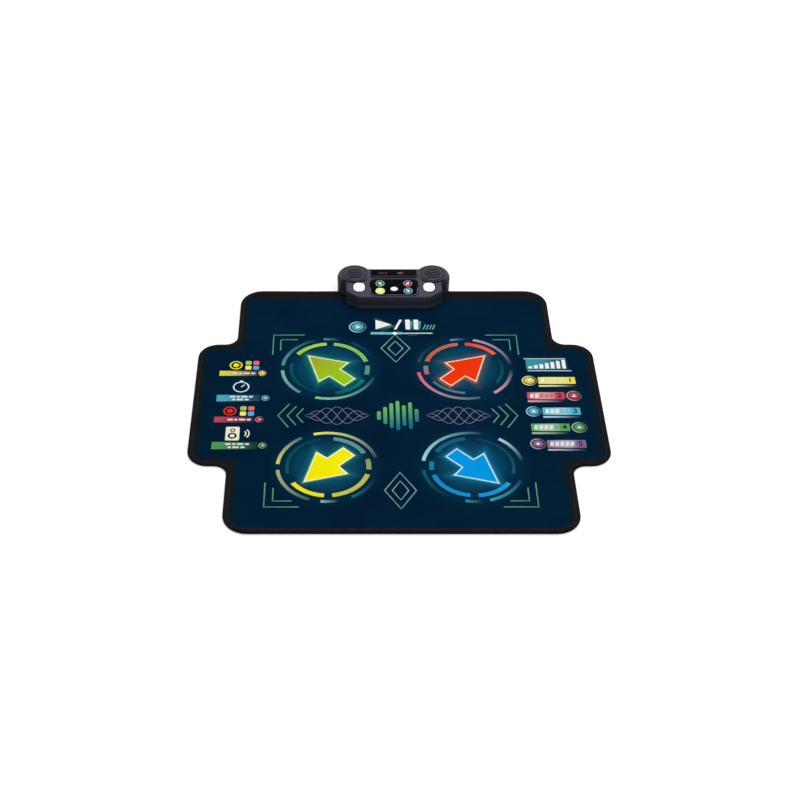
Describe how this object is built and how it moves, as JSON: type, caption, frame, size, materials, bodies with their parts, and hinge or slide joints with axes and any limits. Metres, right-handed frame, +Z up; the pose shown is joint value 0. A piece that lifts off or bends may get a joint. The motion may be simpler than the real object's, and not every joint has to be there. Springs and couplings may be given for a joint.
{
  "type": "electronic dance mat",
  "caption": "Soft dance mat with arrow touch pads, side wings with selector pads, and a clamped battery console with speakers, buttons and coloured lights.",
  "frame": {"origin": "on the floor, at the middle of the whole object's plan", "axes": "+X along the mat's width towards the player's right, +Y away from the player towards the console, +Z up"},
  "size_m": [0.93, 0.8886, 0.0573],
  "materials": {
    "cover": "satin coated cloth, dark blue with printed line art",
    "binding": "black woven tape",
    "non_slip": "black rubberised cloth",
    "rubber": "black moulded rubber",
    "foam": "closed-cell foam",
    "film": "translucent film with printed silver tracks",
    "print_green": "satin coated cloth, green print",
    "print_red": "satin coated cloth, red print",
    "print_yellow": "satin coated cloth, yellow print",
    "print_blue": "satin coated cloth, blue print",
    "print_purple": "satin coated cloth, purple print",
    "case": "fine-textured dark grey moulding",
    "grille": "satin dark grey moulding",
    "gloss": "polished black",
    "window": "polished, tinted nearly black",
    "display": "segment display",
    "white": "satin white moulding",
    "black_plastic": "black moulding",
    "board": "green circuit board",
    "cell": "plain dark wrapper",
    "spring": "plated spring steel",
    "steel": "zinc plated"
  },
  "bodies": {
    "mat": {"edge_binding": "binding", "top_cover": "cover", "upper_membrane": "film", "lower_membrane": "film", "foam_spacer": "foam", "base_sheet": "non_slip", "clamp_plate": "steel", "clamp_screw_left": "steel", "clamp_screw_right": "steel", "ribbon_tail": "film", "top_case": "case", "base_case": "case", "speaker_grille_left": "grille", "speaker_grille_right": "grille", "control_panel": "gloss", "lamp_green": "print_green", "lamp_red": "print_red", "lamp_yellow": "print_yellow", "lamp_blue": "print_blue", "display_window": "window", "display_module": "display", "speaker_left": "black_plastic", "speaker_right": "black_plastic", "switch_left": "black_plastic", "switch_right": "black_plastic", "switch_center": "black_plastic", "main_board": "board", "battery_box": "black_plastic", "battery_1": "cell", "battery_2": "cell", "battery_3": "cell", "battery_4": "cell", "battery_contact_left": "spring", "battery_contact_right": "spring", "power_switch_body": "spring", "audio_jack": "black_plastic", "case_screw_left": "steel", "case_screw_right": "steel", "foot_left": "rubber", "foot_right": "rubber"},
    "zone_green_arrow": {"zone_green_arrow": "print_green"},
    "zone_red_arrow": {"zone_red_arrow": "print_red"},
    "zone_yellow_arrow": {"zone_yellow_arrow": "print_yellow"},
    "zone_blue_arrow": {"zone_blue_arrow": "print_blue"},
    "zone_start": {"zone_start": "print_blue"},
    "zone_level_1": {"zone_level_1": "print_yellow"},
    "zone_level_2": {"zone_level_2": "print_red"},
    "zone_level_3": {"zone_level_3": "print_blue"},
    "zone_level_4": {"zone_level_4": "print_green"},
    "zone_level_5": {"zone_level_5": "print_purple"},
    "zone_mode_1": {"zone_mode_1": "print_yellow"},
    "zone_mode_2": {"zone_mode_2": "print_blue"},
    "zone_mode_3": {"zone_mode_3": "print_red"},
    "zone_mode_4": {"zone_mode_4": "print_green"},
    "button_left": {"button_left": "white"},
    "button_right": {"button_right": "white"},
    "button_center": {"button_center": "white"},
    "power_switch": {"power_switch_slider": "black_plastic"},
    "battery_door": {"battery_door": "case"}
  },
  "joints": [
    {"name": "press_green_arrow", "type": "slide", "parent": "mat", "child": "zone_green_arrow", "axis": [0, 0, -1], "range_m": [0, 0.0029], "stiffness_N_per_m": 3000, "springref_m": -0.0008},
    {"name": "press_red_arrow", "type": "slide", "parent": "mat", "child": "zone_red_arrow", "axis": [0, 0, -1], "range_m": [0, 0.0029], "stiffness_N_per_m": 3000, "springref_m": -0.0008},
    {"name": "press_yellow_arrow", "type": "slide", "parent": "mat", "child": "zone_yellow_arrow", "axis": [0, 0, -1], "range_m": [0, 0.0029], "stiffness_N_per_m": 3000, "springref_m": -0.0008},
    {"name": "press_blue_arrow", "type": "slide", "parent": "mat", "child": "zone_blue_arrow", "axis": [0, 0, -1], "range_m": [0, 0.0029], "stiffness_N_per_m": 3000, "springref_m": -0.0008},
    {"name": "press_start", "type": "slide", "parent": "mat", "child": "zone_start", "axis": [0, 0, -1], "range_m": [0, 0.0029], "stiffness_N_per_m": 800, "springref_m": -0.0008},
    {"name": "press_level_1", "type": "slide", "parent": "mat", "child": "zone_level_1", "axis": [0, 0, -1], "range_m": [0, 0.0029], "stiffness_N_per_m": 800, "springref_m": -0.0008},
    {"name": "press_level_2", "type": "slide", "parent": "mat", "child": "zone_level_2", "axis": [0, 0, -1], "range_m": [0, 0.0029], "stiffness_N_per_m": 800, "springref_m": -0.0008},
    {"name": "press_level_3", "type": "slide", "parent": "mat", "child": "zone_level_3", "axis": [0, 0, -1], "range_m": [0, 0.0029], "stiffness_N_per_m": 800, "springref_m": -0.0008},
    {"name": "press_level_4", "type": "slide", "parent": "mat", "child": "zone_level_4", "axis": [0, 0, -1], "range_m": [0, 0.0029], "stiffness_N_per_m": 800, "springref_m": -0.0008},
    {"name": "press_level_5", "type": "slide", "parent": "mat", "child": "zone_level_5", "axis": [0, 0, -1], "range_m": [0, 0.0029], "stiffness_N_per_m": 800, "springref_m": -0.0008},
    {"name": "press_mode_1", "type": "slide", "parent": "mat", "child": "zone_mode_1", "axis": [0, 0, -1], "range_m": [0, 0.0029], "stiffness_N_per_m": 800, "springref_m": -0.0008},
    {"name": "press_mode_2", "type": "slide", "parent": "mat", "child": "zone_mode_2", "axis": [0, 0, -1], "range_m": [0, 0.0029], "stiffness_N_per_m": 800, "springref_m": -0.0008},
    {"name": "press_mode_3", "type": "slide", "parent": "mat", "child": "zone_mode_3", "axis": [0, 0, -1], "range_m": [0, 0.0029], "stiffness_N_per_m": 800, "springref_m": -0.0008},
    {"name": "press_mode_4", "type": "slide", "parent": "mat", "child": "zone_mode_4", "axis": [0, 0, -1], "range_m": [0, 0.0029], "stiffness_N_per_m": 800, "springref_m": -0.0008},
    {"name": "press_button_left", "type": "slide", "parent": "mat", "child": "button_left", "axis": [0, 0.0712, -0.9975], "range_m": [0, 0.0013], "stiffness_N_per_m": 600, "springref_m": -0.0008},
    {"name": "press_button_right", "type": "slide", "parent": "mat", "child": "button_right", "axis": [0, 0.0712, -0.9975], "range_m": [0, 0.0013], "stiffness_N_per_m": 600, "springref_m": -0.0008},
    {"name": "press_button_center", "type": "slide", "parent": "mat", "child": "button_center", "axis": [0, 0.0712, -0.9975], "range_m": [0, 0.0013], "stiffness_N_per_m": 600, "springref_m": -0.0008},
    {"name": "power_switch_slide", "type": "slide", "parent": "mat", "child": "power_switch", "axis": [1, 0, 0], "range_m": [0, 0.004]},
    {"name": "battery_door_hinge", "type": "hinge", "parent": "mat", "child": "battery_door", "pos_m": [0, 0.4191, 0.0076], "axis": [-1, 0, 0], "range_deg": [0, 95]}
  ]
}
